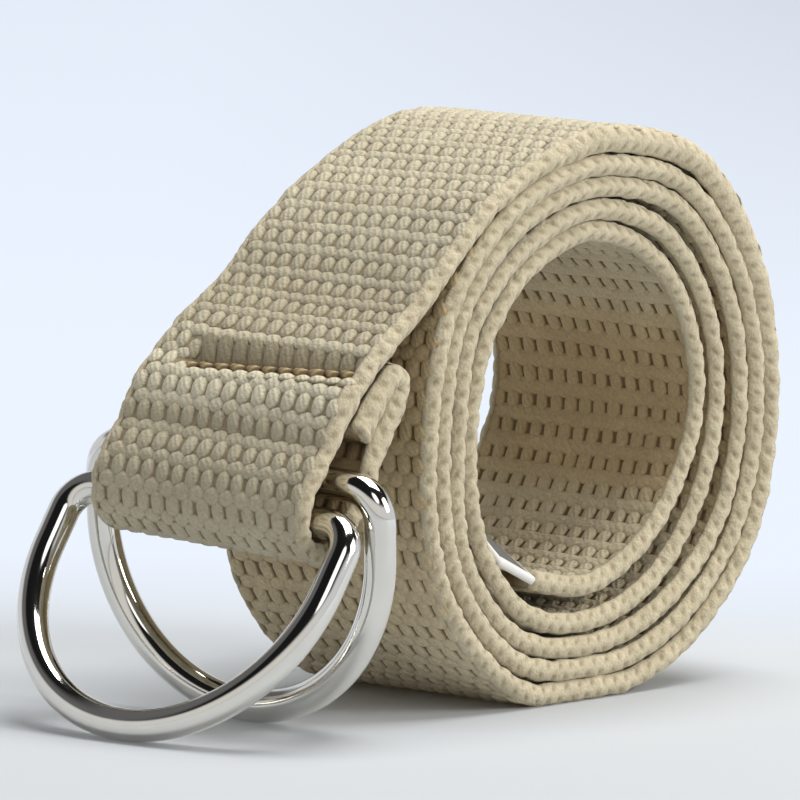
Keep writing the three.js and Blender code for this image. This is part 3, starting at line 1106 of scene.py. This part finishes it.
def labelMaterial():
    material, make = newMaterial("labelTape")
    warps, wefts = label["threads"]
    across, along = make.yarnPlace()
    height = waved(along * wefts) * waved(across * warps) * 0.5 + 0.5
    colour = make.mixColours(height, label["hollows"], label["white"])
    inFace = ramped(make.stored("inFace"), *label["faceReach"])
    varying = {
        "Base Color": make.mixColours(inFace * (1 - height * label["faceWeave"]), colour, label["face"]),
        "Normal": make.bump(height, label["relief"], label["reliefStrength"]),
    }
    constants = {"Roughness": label["roughness"], "Specular IOR Level": label["specular"]}
    return finishMaterial(material, make, constants, varying)


# A section's outline: places across in widths, and through in thicknesses
def labelProfile():
    steps = label["across"] - 1
    half = [(k / steps, -0.5) for k in range(steps + 1)]
    for k in range(1, label["edgeSteps"]):
        angle = math.pi * k / label["edgeSteps"]
        half.append((1 + label["edgeRound"] * math.sin(angle), -0.5 * math.cos(angle)))
    return half + [(1 - w, -t) for w, t in half]


def makeLabel():
    rise = math.radians(label["rise"])
    forward = np.array([-math.cos(rise), 0, math.sin(rise)])
    inward = np.array([math.sin(rise), 0, math.cos(rise)])
    root = path["place"][-1] + path["inward"][-1] * band["thickness"] / 2
    root = root - np.array([0, band["width"] / 2, 0])
    profile = labelProfile()
    last = label["sections"] - 1
    sections, uvs, inFace = [], [], []
    for i in range(label["sections"]):
        share = i / last
        twist = math.radians(np.interp(share, (0, 1), label["twist"]))
        across = np.array([0, math.cos(twist), 0]) + inward * math.sin(twist)
        through = inward * math.cos(twist) + np.array([0, -math.sin(twist), 0])
        edge = root + forward * (label["gap"] + share * label["length"])
        thin = label["thickness"] * (1 - label["thinner"] * smooth(share, label["thinnerFrom"], 1.0))
        sections.append([edge + across * w * label["width"] + through * t * thin for w, t in profile])
        uvs.append([(w, share) for w, t in profile])
        whole = label["margin"] <= i <= last - label["margin"]
        inFace.append([float(whole and t == 0.5 and 0 < w < 1) for w, t in profile])
    piece = loftObject("label_tape", np.array(sections) * mm, labelMaterial(), uv=uvs)
    store(piece.data, "inFace", inFace)
    return piece


labelPiece = makeLabel()
print("label made")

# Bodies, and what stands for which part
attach(webbingPiece, "band")
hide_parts("webbing")
for piece in [nearSelvedge, farSelvedge, *weavePieces]:
    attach(piece, "band")
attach(labelPiece, "band")
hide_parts("label")
for piece, node, body in ringPieces:
    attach(piece, body)
    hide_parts(node)
path["length"] * mm

# Studio, in metres: a pale floor that runs out into a brighter backdrop, pale walls under a dark ceiling
# with one wide soft light, and two lamps
studio = {
    "floor": (0.455, 0.478, 0.503, 1),
    "floorSize": 9.0,
    "floorRoughness": 0.8,
    "floorSpecular": 0.15,
    "floorGlow": (0.078, 0.080, 0.081, 1),  # keeps shadows light
    "floorUnder": (0.010, 0.007, 0.003, 1),  # and less so close to the coil's foot, at these distances
    "underReach": (0.024, 0.046),
    "underShape": (0.9, 1.0, 0.0),
    "backdropReach": (0.03, 0.13),  # metres behind the origin over which the floor runs out into the backdrop
    "backdrop": (0.81, 0.875, 0.985, 1),
    "backdropHigh": (0.74, 0.80, 0.90, 1),
    "highReach": (0.4, 1.3),
    "backdropSide": (0.61, 0.655, 0.735, 1),
    "sideReach": (0.35, 1.1),  # behind the origin
    "sideAside": (-0.06, 0.15),  # and to its right
    "strength": 0.78,
    "walls": (0.92, 0.95, 1.0, 1),
    "leftWall": (0.97, 0.95, 0.92, 1),
    "leftWay": (-0.8, -0.2, 0),
    "leftReach": (0.1, 0.8),
    "wallTop": (0.36, 0.50),  # the walls' light fades out between these heights of view
    "ceiling": (0.18, 0.18, 0.185, 1),
    "ceilingNear": (0.014, 0.014, 0.015, 1),
    "ceilingSplit": (0.42, 0.58),  # how far to the back the ceiling stays dark
    "softbox": (2.2, 2.2, 2.2, 1),
    "softboxWay": (-0.432, -0.632, 0.643),
    "softboxEdge": (0.972, 0.982),
}
lampAim = (-0.015, 0, 0.035)
lamps = {
    "key": {"place": (0.65, -1.45, 0.85), "size": 0.8, "power": 20, "colour": (1.0, 0.975, 0.93)},
    "top": {"place": (0.36, -0.10, 1.32), "size": 0.9, "power": 22.5, "colour": (1.0, 0.99, 0.97)},
}
black = (0, 0, 0, 1)


def floorMaterial():
    material, make = newMaterial("paleFloor")
    place = make.place()
    behind = make.dot(place, (-cameraBack.x, -cameraBack.y, 0))
    aside = make.dot(place, view["right"])
    glow = make.mixColours(ramped(behind, *studio["highReach"]), studio["backdrop"], studio["backdropHigh"])
    side = ramped(behind, *studio["sideReach"]) * ramped(aside, *studio["sideAside"])
    glow = make.mixColours(side, glow, studio["backdropSide"])
    under = make.combined("MULTIPLY", place, studio["underShape"])
    under = make.add("ShaderNodeVectorMath", {"operation": "LENGTH"}, {0: under}, out="Value")
    lift = make.mixColours(ramped(under, *studio["underReach"]), studio["floorUnder"], studio["floorGlow"])
    backdrop = ramped(behind, *studio["backdropReach"])
    varying = {
        "Base Color": make.mixColours(backdrop, studio["floor"], black),
        "Emission Color": make.mixColours(backdrop, lift, glow),
    }
    constants = {
        "Roughness": studio["floorRoughness"],
        "Specular IOR Level": studio["floorSpecular"],
        "Emission Strength": 1.0,
    }
    return finishMaterial(material, make, constants, varying)


def addFloor():
    size = studio["floorSize"]
    corners = [(-size, -size, 0), (size, -size, 0), (size, size, 0), (-size, size, 0)]
    floor = meshObject("floor", corners, [(0, 1, 2, 3)], floorMaterial(), smoothed=False)


def addLamp(name, place, size, power, colour):
    lamp = bpy.data.lights.new(name, "AREA")
    lamp.shape = "SQUARE"
    lamp.size = size
    lamp.energy = power
    lamp.color = colour
    aim = Vector(lampAim) - Vector(place)
    turned = aim.to_track_quat("-Z", "Y").to_matrix().to_4x4()
    linked(name, lamp).matrix_world = Matrix.Translation(place) @ turned


def addSky():
    world = bpy.data.worlds.new("studio")
    world.use_nodes = True
    world.node_tree.nodes.clear()
    make = NodeMaker(world.node_tree)
    way = make.add("ShaderNodeTexCoord", out="Generated")
    left = ramped(make.dot(way, studio["leftWay"]), *studio["leftReach"])
    walls = make.mixColours(left, studio["walls"], studio["leftWall"])
    back = ramped(make.axis(way, "Y"), *studio["ceilingSplit"])
    ceiling = make.mixColours(back, studio["ceilingNear"], studio["ceiling"])
    colour = make.mixColours(ramped(make.axis(way, "Z"), *studio["wallTop"]), walls, ceiling)
    softbox = ramped(make.dot(way, studio["softboxWay"]), *studio["softboxEdge"])
    colour = make.mixColours(softbox, colour, studio["softbox"])
    light = make.add("ShaderNodeBackground", None, {"Color": colour, "Strength": studio["strength"]})
    out = world.node_tree.nodes.new("ShaderNodeOutputWorld")
    world.node_tree.links.new(light.socket, out.inputs["Surface"])
    bpy.context.scene.world = world


addFloor()
addSky()
for name, values in lamps.items():
    addLamp(name, **values)
bpy.context.scene.view_settings.view_transform = "Standard"
print("studio lit")
